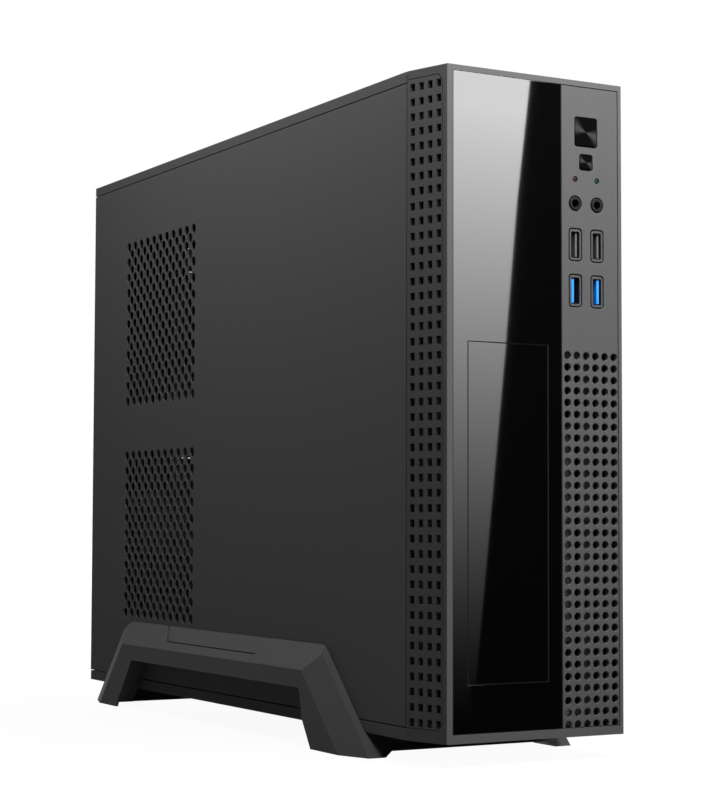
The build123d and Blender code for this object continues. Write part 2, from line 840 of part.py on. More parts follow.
# Hard drive and its bracket on the right hand wall
drive_x = (16.0, 42.1)
drive_y = (-166.0, -19.0)
drive_z = (48.0, 149.6)
drive_screw_y = (-138.0, -78.0, -37.0)
drive_screw_x = 35.7
bracket_y = (drive_y[0] + 12, drive_y[1] - 6)
bracket_rim = 40.0
with BuildPart() as hard_drive:
    block(drive_x, drive_y, drive_z)
    hard_edges = hard_drive.edges().filter_by(Axis.X)
    chamfer(hard_edges, length=2.0)
    block(
        (drive_x[0], drive_x[0] + 1.0),
        (drive_y[0] + 8, drive_y[1] - 8),
        (drive_z[0] + 6, drive_z[1] - 6),
        Mode.SUBTRACT,
    )
save(hard_drive, "hard_drive")
with BuildPart() as drive_bracket:
    block((inner_right_x - sheet, inner_right_x), bracket_y, (drive_z[0] - sheet, drive_z[1] + sheet))
    block(
        (inner_right_x - sheet, inner_right_x),
        (drive_y[0] + bracket_rim, drive_y[1] - bracket_rim),
        (drive_z[0] + bracket_rim / 2, drive_z[1] - bracket_rim / 2),
        Mode.SUBTRACT,
    )
    for arm_z in (drive_z[0] - sheet, drive_z[1]):
        block((drive_x[0] + 8, inner_right_x), bracket_y, (arm_z, arm_z + sheet))
save(drive_bracket, "drive_bracket")
with BuildPart() as drive_screws:
    for spot_y in drive_screw_y:
        prism(Plane.XY.offset(drive_z[0] - sheet), [(drive_screw_x, spot_y)], 3.0, 6, -1.8)
        prism(Plane.XY.offset(drive_z[1] + sheet), [(drive_screw_x, spot_y)], 3.0, 6, 1.8)
save(drive_screws, "drive_screws")

# Main board with its standoffs and screws
mount_y = (board_front + 8, board_front + 96, board_rear - 16)
mount_z = (board_low_z + 6, board_high_z - 6)
mount_spots = [(y, z) for y in mount_y for z in mount_z]
with BuildPart() as main_board:
    block((board_top_x, board_x), (board_front, board_rear), (board_low_z, board_high_z))
save(main_board, "main_board")
with BuildPart() as standoffs:
    prism(facing_right(board_x), mount_spots, 3.0, 6, standoff_long)
save(standoffs, "standoffs")
with BuildPart() as board_screws:
    prism(facing_right(board_top_x), mount_spots, 3.2, 6, -1.8)
save(board_screws, "board_screws")

# Processor socket, processor and heat sink
socket_half = 27.0
chip_half = 19.0
socket_tall = 5.0
chip_tall = 3.0
sink_half = 38.0
sink_base = 6.0
fin_tall = 22.0
fin_count = 10
chip_x = board_top_x - socket_tall - chip_tall
fan_tall = 14.0
fan_half = 38.0
fan_x = chip_x - sink_base - fin_tall
with BuildPart() as processor_socket:
    block(
        (board_top_x - socket_tall, board_top_x),
        (cooler_y - socket_half, cooler_y + socket_half),
        (cooler_z - socket_half, cooler_z + socket_half),
    )
save(processor_socket, "processor_socket")
with BuildPart() as processor:
    block(
        (chip_x, chip_x + chip_tall),
        (cooler_y - chip_half, cooler_y + chip_half),
        (cooler_z - chip_half, cooler_z + chip_half),
    )
save(processor, "processor")
with BuildPart() as heat_sink:
    with BuildSketch(Plane.XY.offset(cooler_z - sink_half)):
        with Locations((chip_x - sink_base / 2, cooler_y)):
            Rectangle(sink_base, 2 * sink_half)
        with Locations((chip_x - sink_base - fin_tall / 2, cooler_y)):
            with GridLocations(1, (2 * sink_half - 1.4) / (fin_count - 1), 1, fin_count):
                Rectangle(fin_tall, 1.4)
    extrude(amount=2 * sink_half)
save(heat_sink, "heat_sink")


# Fans: square frame with a round throat, spokes and hub seat, and a bladed rotor
blade_tilt = radians(40.0)
shaft_radius = 2.0
shaft_bore = 2.05
shaft_long = 2.2


def fan_frame(label, plane, centre, half, tall, throat, hub):
    with BuildPart() as frame:
        with BuildSketch(plane):
            with Locations(centre):
                Rectangle(2 * half, 2 * half)
                RegularPolygon(throat, 16, mode=Mode.SUBTRACT)
        extrude(amount=tall)
        with BuildSketch(plane):
            with Locations(centre):
                RegularPolygon(hub, 8)
                Rectangle(2 * half - 2, 2.4)
                Rectangle(2.4, 2 * half - 2)
        extrude(amount=2.0)
        disc(plane, [centre], shaft_bore, 2.0, Mode.SUBTRACT)
    save(frame, label)


def fan_rotor(label, plane, centre, blade_reach, hub, tall, blades):
    middle = plane.from_local_coords(Vector(*centre, tall / 2))
    with BuildPart() as rotor:
        with BuildSketch(plane):
            with Locations(centre):
                RegularPolygon(hub, 8)
        extrude(amount=tall)
        disc(plane, [centre], shaft_radius, -shaft_long)
        for turn in range(blades):
            angle = radians(360.0 * turn / blades)
            outward = plane.x_dir * cos(angle) + plane.y_dir * sin(angle)
            around = plane.z_dir.cross(outward)
            chord = around * cos(blade_tilt) + plane.z_dir * sin(blade_tilt)
            with BuildSketch(Plane(middle + outward * (hub - 1.5), chord, outward)):
                Rectangle(tall * 1.1, 1.2)
            extrude(amount=blade_reach - hub + 1.5)
    save(rotor, label)


cooler_plane = facing_left(fan_x)
fan_frame("cooler_frame", cooler_plane, (-cooler_y, cooler_z), fan_half, fan_tall, 36.5, 14.0)
fan_rotor("cooler_rotor", cooler_plane.offset(2.6), (-cooler_y, cooler_z), 34.0, 14.0, 10.0, 5)

# Memory sockets and module
memory_y = (38.0, 48.0)
memory_z = (138.0, 278.0)
memory_tall = 7.0
memory_seat = 3.0
latch_tall = 15.0
latch_wide = 4.0
module_tall = 31.0
module_half = 0.65
chip_count = 8
chip_pitch = 15.0
chip_long = 11.0
chip_thick = 1.1
with BuildPart() as memory_sockets:
    for spot_y in memory_y:
        block((board_top_x - memory_tall, board_top_x), (spot_y - 3.5, spot_y + 3.5), memory_z)
        block(
            (board_top_x - memory_tall, board_top_x - memory_seat),
            (spot_y - 0.8, spot_y + 0.8),
            (memory_z[0] + 3, memory_z[1] - 3),
            Mode.SUBTRACT,
        )
        for end_z in (memory_z[0] - latch_wide, memory_z[1]):
            block(
                (board_top_x - latch_tall, board_top_x),
                (spot_y - 3, spot_y + 3),
                (end_z, end_z + latch_wide),
            )
save(memory_sockets, "memory_sockets")
module_z = (memory_z[0] + 3.35, memory_z[0] + 136.7)
with BuildPart() as memory_module:
    block(
        (board_top_x - memory_seat - module_tall, board_top_x - memory_seat),
        (memory_y[0] - module_half, memory_y[0] + module_half),
        module_z,
    )
    chip_face = memory_y[0] + module_half
    for index in range(chip_count):
        base_z = module_z[0] + 8 + index * chip_pitch
        block(
            (board_top_x - 26, board_top_x - 15),
            (chip_face, chip_face + chip_thick),
            (base_z, base_z + chip_long),
        )
save(memory_module, "memory_module")

# Expansion sockets lined up with the rear slots
card_tall = 11.0
card_half = 3.7
card_start = board_rear - 50.0
with BuildPart() as expansion_sockets:
    for index, reach in ((0, 89.0), (1, 25.0), (2, 25.0)):
        spot_z = slot_spots[index] + 4
        block(
            (board_top_x - card_tall, board_top_x),
            (card_start - reach, card_start),
            (spot_z - card_half, spot_z + card_half),
        )
        block(
            (board_top_x - card_tall, board_top_x - 3),
            (card_start + 1.5 - reach, card_start - 1.5),
            (spot_z - 0.9, spot_z + 0.9),
            Mode.SUBTRACT,
        )
save(expansion_sockets, "expansion_sockets")

# Chipset heat sink
chipset_y = (22.0, 58.0)
chipset_z = (66.0, 102.0)
chipset_fins = 6
chipset_base = 4.0
chipset_tall = 14.0
with BuildPart() as chipset_sink:
    block((board_top_x - chipset_base, board_top_x), chipset_y, chipset_z)
    for index in range(chipset_fins):
        base_y = chipset_y[0] + index * 6.8
        block((board_top_x - chipset_tall, board_top_x - chipset_base), (base_y, base_y + 2), chipset_z)
save(chipset_sink, "chipset_sink")

# Power and drive sockets at the board's front edge
power_socket_z = (204.0, 256.0)
with BuildPart() as power_socket:
    block((board_top_x - 12, board_top_x), (board_front + 2, board_front + 12), power_socket_z)
save(power_socket, "power_socket")
data_port_z = (92.0, 114.0)
with BuildPart() as drive_ports:
    block((board_top_x - 9, board_top_x), (board_front + 0.5, board_front + 15), data_port_z)
    block(
        (board_top_x - 8, board_top_x - 1),
        (board_front + 0.5, board_front + 8),
        (data_port_z[0] + 1.5, data_port_z[1] - 1.5),
        Mode.SUBTRACT,
    )
save(drive_ports, "drive_ports")

# Rear connector blocks and the stamped shield round them
port_out_y = wall_rear_y + 1.0
port_long = 20.0
mouth_deep = 9.0
mouth_wall = 1.2
port_blocks = ((262.0, 14.0, 31.0), (226.0, 31.0, 20.0), (186.0, 16.5, 30.0), (148.0, 13.0, 34.0))
with BuildPart() as rear_ports:
    for centre_z, wide, tall in port_blocks:
        half = wide / 2
        middle = board_top_x - tall / 2
        mouth_z = (centre_z - half + mouth_wall, centre_z + half - mouth_wall)
        block(
            (board_top_x - tall, board_top_x),
            (board_rear - port_long, port_out_y),
            (centre_z - half, centre_z + half),
        )
        for mouth_x in ((board_top_x - tall + 2, middle - 1), (middle + 1, board_top_x - 2)):
            block(mouth_x, (port_out_y - mouth_deep, port_out_y), mouth_z, Mode.SUBTRACT)
save(rear_ports, "rear_ports")
shield_y = (wall_in_y + 0.2, wall_in_y + 0.6)
with BuildPart() as io_shield:
    block((io_right_x - io_wide, io_right_x), shield_y, io_z)
    for centre_z, wide, tall in port_blocks:
        block(
            (board_top_x - tall - 0.4, board_top_x + 0.4),
            shield_y,
            (centre_z - wide / 2 - 0.4, centre_z + wide / 2 + 0.4),
            Mode.SUBTRACT,
        )
save(io_shield, "io_shield")

# Expansion slot covers: bent blanks held on the shelf
cover_half = 9.2
cover_fold = 11.4
with BuildPart() as slot_covers:
    for spot_z in slot_spots:
        cover_z = (spot_z - cover_half, spot_z + cover_half)
        block((shelf_x, slot_edge[1]), (wall_in_y - sheet, wall_in_y), cover_z)
        block((shelf_x, shelf_x + sheet), (wall_in_y - cover_fold, wall_in_y), cover_z)
save(slot_covers, "slot_covers")
with BuildPart() as slot_screws:
    prism(facing_right(shelf_x + sheet), [(wall_in_y - 6.5, spot) for spot in slot_spots], 3.2, 6, 2.0)
save(slot_screws, "slot_screws")

# Mains inlet
inlet_flange = 2.0
pin_pitch = 7.0
with BuildPart() as mains_inlet:
    with BuildSketch(facing_rear(wall_rear_y)):
        with Locations((-inlet_x, inlet_z)):
            Rectangle(24.0, 50.0)
    extrude(amount=inlet_flange)
    block(
        (inlet_x - inlet_wide / 2, inlet_x + inlet_wide / 2),
        (wall_in_y - 16, wall_rear_y),
        (inlet_z - inlet_tall / 2, inlet_z + inlet_tall / 2),
    )
    with BuildSketch(facing_rear(wall_rear_y + inlet_flange)):
        with Locations((-inlet_x, inlet_z)):
            Rectangle(16.0, 24.0)
    extrude(amount=-14.0, mode=Mode.SUBTRACT)
    for offset_z, offset_x in ((0, -2.0), (-pin_pitch, 2.0), (pin_pitch, 2.0)):
        block(
            (inlet_x + offset_x - 2.0, inlet_x + offset_x + 2.0),
            (wall_rear_y - 12.5, wall_rear_y - 1),
            (inlet_z + offset_z - 1, inlet_z + offset_z + 1),
        )
save(mains_inlet, "mains_inlet")

# Power supply on its bracket, with its fan rotor
supply_x = (-38.0, 43.5)
supply_y = (-166.0, -16.0)
supply_z = (252.0, 292.5)
supply_fan = (4.0, 272.2)
supply_throat = 17.5
with BuildPart() as supply_case:
    block(supply_x, supply_y, supply_z)
    block(
        (supply_x[0] + 1, supply_x[1] - 1),
        (supply_y[0] + 1, supply_y[1] - 1),
        (supply_z[0] + 1, supply_z[1] - 1),
        Mode.SUBTRACT,
    )
    with BuildSketch(facing_rear(supply_y[1])):
        with Locations((-supply_fan[0], supply_fan[1])):
            RegularPolygon(supply_throat, 12)
    extrude(amount=-1.0, mode=Mode.SUBTRACT)
    with BuildSketch(facing_front(supply_y[0])):
        with Locations(((supply_x[0] + supply_x[1]) / 2, (supply_z[0] + supply_z[1]) / 2)):
            with GridLocations(18, 1, 4, 1):
                Rectangle(9, 28)
    extrude(amount=-1.0, mode=Mode.SUBTRACT)
    # Fan frame inside the rear end
    with BuildSketch(facing_rear(supply_y[1] - 16)):
        with Locations((-supply_fan[0], supply_fan[1])):
            Rectangle(38, 38)
            RegularPolygon(supply_throat, 12, mode=Mode.SUBTRACT)
    extrude(amount=15.5)
    with BuildSketch(facing_rear(supply_y[1] - 16)):
        with Locations((-supply_fan[0], supply_fan[1])):
            RegularPolygon(8.0, 8)
            Rectangle(37, 2)
            Rectangle(2, 37)
    extrude(amount=2.0)
    disc(facing_rear(supply_y[1] - 16), [(-supply_fan[0], supply_fan[1])], shaft_bore, 2.0, Mode.SUBTRACT)
save(supply_case, "supply_case")
supply_fan_plane = facing_rear(supply_y[1] - 13.4)
fan_rotor("supply_rotor", supply_fan_plane, (-supply_fan[0], supply_fan[1]), 16.0, 8.0, 9.0, 4)
holder_y = (supply_y[0] + 10, supply_y[1] - 10)
with BuildPart() as supply_bracket:
    block((supply_x[0], inner_right_x), holder_y, (supply_z[0] - sheet, supply_z[0]))
    block((inner_right_x - sheet, inner_right_x), holder_y, (supply_z[0], supply_z[0] + 12))
save(supply_bracket, "supply_bracket")


# Inside leads: square sleeved cords, each straight run tangent to a round bend
def lead(label, points, bend, thick):
    corners = [Vector(*point) for point in points]
    headings = [(after - before).normalized() for before, after in zip(corners, corners[1:])]
    with BuildPart() as cord:
        with BuildSketch(Plane(origin=corners[0], z_dir=headings[0]), mode=Mode.PRIVATE) as outline:
            Rectangle(thick, thick)
        section = outline.sketch.faces()[0]
        spot = corners[0]
        for corner, heading, turned in zip(corners[1:-1], headings, headings[1:]):
            angle = heading.get_angle(turned)
            trim = bend * tan(radians(angle / 2))
            run = (corner - spot).length - trim
            extrude(section, amount=run, dir=heading)
            section = section.moved(Location(heading * run))
            spot = corner - heading * trim
            upright = heading.cross(turned).normalized()
            pivot = Axis(spot + upright.cross(heading) * bend, upright)
            revolve(section, axis=pivot, revolution_arc=angle)
            section = section.rotate(pivot, angle)
            spot = corner + turned * trim
        extrude(section, amount=(corners[-1] - spot).length, dir=headings[-1])
    save(cord, label)


inlet_back = wall_in_y - 16
supply_back = supply_y[1]
drive_back = drive_y[1]
lead("mains_lead", [(-19, inlet_back, 262), (-19, 150, 262), (-25, 20, 272), (-25, supply_back, 272)], 8, 5.2)
lead("main_harness", [(14, supply_back, 262), (14, 10, 262), (14, 10, 230), (29.1, 10, 230)], 6, 6.2)
drive_route = [(28, supply_back, 258), (28, -8, 258), (28, -8, 136), (28, drive_back, 136)]
lead("drive_power_lead", drive_route, 4, 3.6)
lead("drive_data_lead", [(36.6, drive_back, 86), (36.6, -8, 86), (36.6, -8, 103), (36.6, 3.5, 103)], 3, 2.6)
lead("front_lead", [(20, -179.4, 200), (20, -8, 200), (20, -8, 60), (20, 12, 60), (41.1, 12, 60)], 5, 3.0)
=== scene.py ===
import json
import math
import bpy
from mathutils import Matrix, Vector


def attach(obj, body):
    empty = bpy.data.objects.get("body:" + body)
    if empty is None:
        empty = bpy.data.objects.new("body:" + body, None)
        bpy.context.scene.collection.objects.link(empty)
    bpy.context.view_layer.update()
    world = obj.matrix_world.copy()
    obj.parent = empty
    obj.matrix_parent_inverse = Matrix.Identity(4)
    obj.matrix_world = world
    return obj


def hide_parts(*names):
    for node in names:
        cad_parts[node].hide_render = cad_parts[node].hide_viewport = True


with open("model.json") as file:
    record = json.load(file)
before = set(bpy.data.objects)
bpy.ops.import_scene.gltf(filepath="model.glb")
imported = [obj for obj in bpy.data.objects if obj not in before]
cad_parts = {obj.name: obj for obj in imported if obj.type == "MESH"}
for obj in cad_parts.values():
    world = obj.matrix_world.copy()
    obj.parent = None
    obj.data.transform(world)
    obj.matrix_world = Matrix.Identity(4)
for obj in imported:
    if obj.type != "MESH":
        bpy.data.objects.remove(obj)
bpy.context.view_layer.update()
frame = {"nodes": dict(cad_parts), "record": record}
print("frame loaded")

scene = bpy.context.scene
scene.view_settings.view_transform = "Standard"
mm = 0.001

# case planes in millimetres, as in the part
frontY = -197.0
rearY = 189.0

# how finely meshes are merged, rounded and smoothed
meshing = {
    "mergeGap": 0.000005, "flatAngle": 1, "cornerSteps": 5,
    "bevelAngle": 30, "smoothAngle": 35, "placeGap": 0.0001,
}


def clearSelection():
    if bpy.context.object and bpy.context.object.mode != "OBJECT":
        bpy.ops.object.mode_set(mode="OBJECT")
    bpy.ops.object.select_all(action="DESELECT")


def pick(piece):
    clearSelection()
    piece.select_set(True)
    bpy.context.view_layer.objects.active = piece


def applyPlace(piece):
    pick(piece)
    bpy.ops.object.transform_apply(location=True, rotation=True, scale=True)


def boxAt(name, low, high):
    clearSelection()
    size = [(b - a) * mm for a, b in zip(low, high)]
    middle = [(a + b) / 2 * mm for a, b in zip(low, high)]
    bpy.ops.mesh.primitive_cube_add(size=1, location=middle, scale=size)
    piece = bpy.context.object
    piece.name = name
    applyPlace(piece)
    return piece


def rodAt(name, centre, radius, length, axis, sides):
    clearSelection()
    turn = {"X": (0, math.pi / 2, 0), "Y": (math.pi / 2, 0, 0)}[axis]
    spot = [v * mm for v in centre]
    bpy.ops.mesh.primitive_cylinder_add(
        vertices=sides, radius=radius * mm, depth=length * mm, location=spot, rotation=turn)
    piece = bpy.context.object
    piece.name = name
    applyPlace(piece)
    return piece


# upright block with rounded corners, from startY back to endY
def roundedBlock(name, centre, size, radius, startY, endY):
    clearSelection()
    spot = (centre[0] * mm, startY * mm, centre[1] * mm)
    bpy.ops.mesh.primitive_plane_add(size=1, location=spot, rotation=(math.pi / 2, 0, 0))
    piece = bpy.context.object
    piece.name = name
    piece.scale = (size[0] * mm, size[1] * mm, 1)
    applyPlace(piece)
    bpy.ops.object.mode_set(mode="EDIT")
    bpy.ops.mesh.select_all(action="SELECT")
    bpy.ops.mesh.bevel(offset=radius * mm, segments=meshing["cornerSteps"], affect="VERTICES")
    bpy.ops.mesh.select_all(action="SELECT")
    bpy.ops.mesh.extrude_region_move(TRANSFORM_OT_translate={"value": (0, (endY - startY) * mm, 0)})
    bpy.ops.mesh.select_all(action="SELECT")
    bpy.ops.mesh.normals_make_consistent(inside=False)
    bpy.ops.object.mode_set(mode="OBJECT")
    return piece


def repeat(piece, count, step):
    pick(piece)
    rows = piece.modifiers.new("rows", "ARRAY")
    rows.count = count
    rows.use_relative_offset = False
    rows.use_constant_offset = True
    rows.constant_offset_displace = [v * mm for v in step]
    bpy.ops.object.modifier_apply(modifier=rows.name)


def joinAll(pieces):
    clearSelection()
    for other in pieces:
        other.select_set(True)
    bpy.context.view_layer.objects.active = pieces[0]
    bpy.ops.object.join()
    return pieces[0]


# the tool object is used up
def boolean(piece, tool, kind):
    pick(piece)
    step = piece.modifiers.new(kind, "BOOLEAN")
    step.operation = kind
    step.solver = "EXACT"
    step.object = tool
    bpy.ops.object.modifier_apply(modifier=step.name)
    bpy.data.objects.remove(tool)


def smoothFaces(piece, angle=meshing["smoothAngle"]):
    pick(piece)
    bpy.ops.object.shade_smooth_by_angle(angle=math.radians(angle))
    even = piece.modifiers.new("even", "WEIGHTED_NORMAL")
    even.keep_sharp = True
    bpy.ops.object.modifier_apply(modifier=even.name)


def softenEdges(piece, width, segments=2, angle=meshing["bevelAngle"], smooth=meshing["smoothAngle"]):
    pick(piece)
    edge = piece.modifiers.new("edge", "BEVEL")
    edge.width = width * mm
    edge.segments = segments
    edge.limit_method = "ANGLE"
    edge.angle_limit = math.radians(angle)
    bpy.ops.object.modifier_apply(modifier=edge.name)
    smoothFaces(piece, smooth)


# merged copy of a solid, to be rounded
def solidCopy(node, name):
    clearSelection()
    piece = bpy.data.objects.new(name, frame["nodes"][node].data.copy())
    scene.collection.objects.link(piece)
    pick(piece)
    bpy.ops.mesh.customdata_custom_splitnormals_clear()
    bpy.ops.object.mode_set(mode="EDIT")
    bpy.ops.mesh.select_all(action="SELECT")
    bpy.ops.mesh.remove_doubles(threshold=meshing["mergeGap"])
    bpy.ops.mesh.dissolve_limited(angle_limit=math.radians(meshing["flatAngle"]))
    bpy.ops.object.mode_set(mode="OBJECT")
    return piece


# a copied solid is still selected all over, so this comes before picking by place
def deselectMesh(kind):
    bpy.ops.object.mode_set(mode="EDIT")
    bpy.ops.mesh.select_mode(type=kind)
    bpy.ops.mesh.select_all(action="DESELECT")
    bpy.ops.object.mode_set(mode="OBJECT")


def finishPiece(piece, body, slotName, *nodes):
    applyPlace(piece)
    piece.data.materials.clear()
    piece.data.materials.append(finishes[slotName])
    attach(piece, body)
    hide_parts(*nodes)


# finishes: one entry for each material slot of the part
finishSettings = {
    # the face tone of the frame plastic is painted light: a paler front face standing in for the front lamp
    # falling harder on it
    "bezel_plastic": {
        "colour": (0.050, 0.050, 0.0503), "face": 0.088, "rough": 0.6, "shine": 0.01,
        "grain": 2600, "relief": 0.03,
    },
    "control_grey": {
        "colour": (0.069, 0.069, 0.070), "rough": 0.45, "shine": 0.08,
        "grain": 2600, "relief": 0.03, "brushed": True,
    },
    "gloss_black": {"colour": (0.0015, 0.0015, 0.0015), "rough": 0.02, "shine": 0.5},
    "case_paint": {
        "colour": (0.056, 0.056, 0.0564), "rough": 0.50, "shine": 0.005, "grain": 1800, "relief": 0.05,
    },
    "stand_plastic": {
        "colour": (0.056, 0.056, 0.0564), "rough": 0.45, "shine": 0.01, "grain": 2200, "relief": 0.04,
    },
    # the pale wedge tone of the buttons is a painted highlight, standing in for the sheen of a spun cap
    "button_black": {"colour": (0.0015, 0.0015, 0.0015), "rough": 0.4, "shine": 0.005, "paintedSheen": 0.036},
    "light_red": {"colour": (0.022, 0.003, 0.004), "rough": 0.2, "shine": 0.1},
    "light_green": {"colour": (0.002, 0.026, 0.019), "rough": 0.2, "shine": 0.1},
    "jack_plastic": {
        "colour": (0.011, 0.011, 0.011), "rough": 0.4, "shine": 0.04, "grain": 2600, "relief": 0.02,
    },
    "port_steel": {
        "colour": (0.05, 0.05, 0.051), "rough": 0.5, "shine": 0.5, "metal": 1.0,
        "grain": 3000, "relief": 0.02,
    },
    "tongue_grey": {"colour": (0.09, 0.09, 0.09), "rough": 0.5, "shine": 0.2},
    "tongue_blue": {"colour": (0.02, 0.26, 0.90), "rough": 0.5, "shine": 0.2},
    "board_green": {
        "colour": (0.012, 0.045, 0.025), "rough": 0.4, "shine": 0.4, "grain": 900, "relief": 0.05,
    },
    "zinc_steel": {
        "colour": (0.22, 0.22, 0.225), "rough": 0.55, "shine": 0.5, "metal": 1.0,
        "grain": 700, "relief": 0.05,
    },
    "cast_alloy": {
        "colour": (0.38, 0.38, 0.39), "rough": 0.5, "shine": 0.5, "metal": 1.0,
        "grain": 900, "relief": 0.1,
    },
    "brass": {"colour": (0.6, 0.42, 0.14), "rough": 0.3, "shine": 0.5, "metal": 1.0},
    "screw_steel": {"colour": (0.14, 0.14, 0.145), "rough": 0.4, "shine": 0.5, "metal": 1.0},
    "socket_plastic": {"colour": (0.02, 0.02, 0.021), "rough": 0.5, "shine": 0.3},
    "chip_nickel": {"colour": (0.55, 0.55, 0.56), "rough": 0.25, "shine": 0.5, "metal": 1.0},
    "alloy_fins": {"colour": (0.55, 0.55, 0.56), "rough": 0.4, "shine": 0.5, "metal": 1.0},
    "fan_plastic": {"colour": (0.02, 0.02, 0.02), "rough": 0.45, "shine": 0.3},
    "lead_black": {
        "colour": (0.015, 0.015, 0.015), "rough": 0.6, "shine": 0.3, "grain": 1500, "relief": 0.1,
    },
    "lead_red": {"colour": (0.3, 0.02, 0.02), "rough": 0.55, "shine": 0.3},
}

# details that several finishes share
surface = {
    "grainDetail": 2, "reliefDistance": 0.0002,
    "brushScale": (2200, 2200, 14), "brushDetail": 3,
    "brushFrom": 0.3, "brushTo": 0.7, "brushDark": 0.94, "brushPale": 1.06,
    "wedgeTurn": 0.3, "wedgeCount": 2.0, "wedgeSharp": 3.0,
    "faceDeep": 0.4, "faceSharp": 5000.0,
}


def mathStep(nodes, links, kind, first, second=0.0, clamp=False):
    node = nodes.new("ShaderNodeMath")
    node.operation = kind
    node.use_clamp = clamp
    for entry, value in zip(node.inputs, (first, second)):
        if isinstance(value, float):
            entry.default_value = value
        else:
            links.new(value, entry)
    return node.outputs["Value"]


def splitPlace(nodes, links, kind):
    place = nodes.new("ShaderNodeTexCoord")
    split = nodes.new("ShaderNodeSeparateXYZ")
    links.new(place.outputs[kind], split.inputs["Vector"])
    return split.outputs


# base colour goes from the finish's own colour to a grey tone
def mixTone(nodes, links, shader, look, tone, share):
    mix = nodes.new("ShaderNodeMix")
    mix.data_type = "RGBA"
    mix.inputs["A"].default_value = (*look["colour"], 1)
    mix.inputs["B"].default_value = (tone, tone, tone, 1)
    links.new(share, mix.inputs["Factor"])
    links.new(mix.outputs["Result"], shader.inputs["Base Color"])


# painted highlight: two pale wedges either side of the middle of the cap, painted into the base colour in
# place of the sheen a spun cap reflects
def paintedSpinHighlight(nodes, links, shader, look):
    split = splitPlace(nodes, links, "Generated")
    across = mathStep(nodes, links, "SUBTRACT", split["X"], 0.5)
    above = mathStep(nodes, links, "SUBTRACT", split["Z"], 0.5)
    angle = mathStep(nodes, links, "ARCTAN2", above, across)
    turned = mathStep(nodes, links, "ADD", angle, surface["wedgeTurn"])
    around = mathStep(nodes, links, "MULTIPLY", turned, surface["wedgeCount"])
    wave = mathStep(nodes, links, "COSINE", around)
    pale = mathStep(nodes, links, "MAXIMUM", wave, 0.0)
    wedge = mathStep(nodes, links, "POWER", pale, surface["wedgeSharp"])
    mixTone(nodes, links, shader, look, look["paintedSheen"], wedge)


# frame moulding: the front face is painted paler than the flanks, painted light for the front lamp falling
# harder on it than on the flanks
def paintedFaceLight(nodes, links, shader, look):
    split = splitPlace(nodes, links, "Object")
    ahead = mathStep(nodes, links, "SUBTRACT", (frontY + surface["faceDeep"]) * mm, split["Y"])
    share = mathStep(nodes, links, "MULTIPLY", ahead, surface["faceSharp"], True)
    mixTone(nodes, links, shader, look, look["face"], share)


# fine upright streaks in the base colour
def brushStreaks(nodes, links, shader, look, place):
    stretch = nodes.new("ShaderNodeMapping")
    stretch.inputs["Scale"].default_value = surface["brushScale"]
    links.new(place.outputs["Object"], stretch.inputs["Vector"])
    streak = nodes.new("ShaderNodeTexNoise")
    streak.inputs["Scale"].default_value = 1
    streak.inputs["Detail"].default_value = surface["brushDetail"]
    links.new(stretch.outputs["Vector"], streak.inputs["Vector"])
    shade = nodes.new("ShaderNodeValToRGB")
    dark, pale = shade.color_ramp.elements
    dark.position = surface["brushFrom"]
    pale.position = surface["brushTo"]
    dark.color = (*[v * surface["brushDark"] for v in look["colour"]], 1)
    pale.color = (*[v * surface["brushPale"] for v in look["colour"]], 1)
    links.new(streak.outputs["Fac"], shade.inputs["Fac"])
    links.new(shade.outputs["Color"], shader.inputs["Base Color"])


def makeFinish(name, look):
    finish = bpy.data.materials.new(name)
    finish.use_nodes = True
    nodes = finish.node_tree.nodes
    links = finish.node_tree.links
    shader = nodes["Principled BSDF"]
    shader.inputs["Base Color"].default_value = (*look["colour"], 1)
    shader.inputs["Roughness"].default_value = look["rough"]
    shader.inputs["Metallic"].default_value = look.get("metal", 0.0)
    shader.inputs["Specular IOR Level"].default_value = look["shine"]
    # painted highlight: pale wedges on the button caps
    if look.get("paintedSheen"):
        paintedSpinHighlight(nodes, links, shader, look)
    # painted light: paler front face of the frame
    if look.get("face"):
        paintedFaceLight(nodes, links, shader, look)
    if not look.get("grain"):
        return finish
    place = nodes.new("ShaderNodeTexCoord")
    grain = nodes.new("ShaderNodeTexNoise")
    grain.inputs["Scale"].default_value = look["grain"]
    grain.inputs["Detail"].default_value = surface["grainDetail"]
    links.new(place.outputs["Object"], grain.inputs["Vector"])
    relief = nodes.new("ShaderNodeBump")
    relief.inputs["Strength"].default_value = look["relief"]
    relief.inputs["Distance"].default_value = surface["reliefDistance"]
    links.new(grain.outputs["Fac"], relief.inputs["Height"])
    links.new(relief.outputs["Normal"], shader.inputs["Normal"])
    if look.get("brushed"):
        brushStreaks(nodes, links, shader, look, place)
    return finish


finishes = {name: makeFinish(name, look) for name, look in finishSettings.items()}
for part in frame["record"]["subparts"]:
    node = frame["nodes"][part["node"]]
    node.data.materials.clear()
    node.data.materials.append(finishes[part["material_slot"]])
print("finishes made")

# side panel: folded sheet with two staggered fields of round holes
panel = {
    "low": (-50.0, -173.8, 16.0), "high": (-49.2, 189.0, 295.7), "sheet": 0.8,
    "foldX": -42.4, "frontFoldX": -45.0, "flangeX": -35.5, "overlap": 0.5,
    "hookStarts": (-120.0, 0.0, 120.0), "hookWide": 8.0, "hookToe": 9.0, "hookX": -38.0, "toeX": -40.7,
    "holeRadius": 2.7, "holeSides": 16, "holeX": -49.6, "cutDeep": 4,
    "pitch": 8.85, "count": 11, "midY": 93.0, "midZ": (215.4, 95.9),
    "screwX": -42.6, "screwY": 188.6, "screwZ": (56.0, 256.0), "screwHole": 1.9, "screwSides": 20,
}


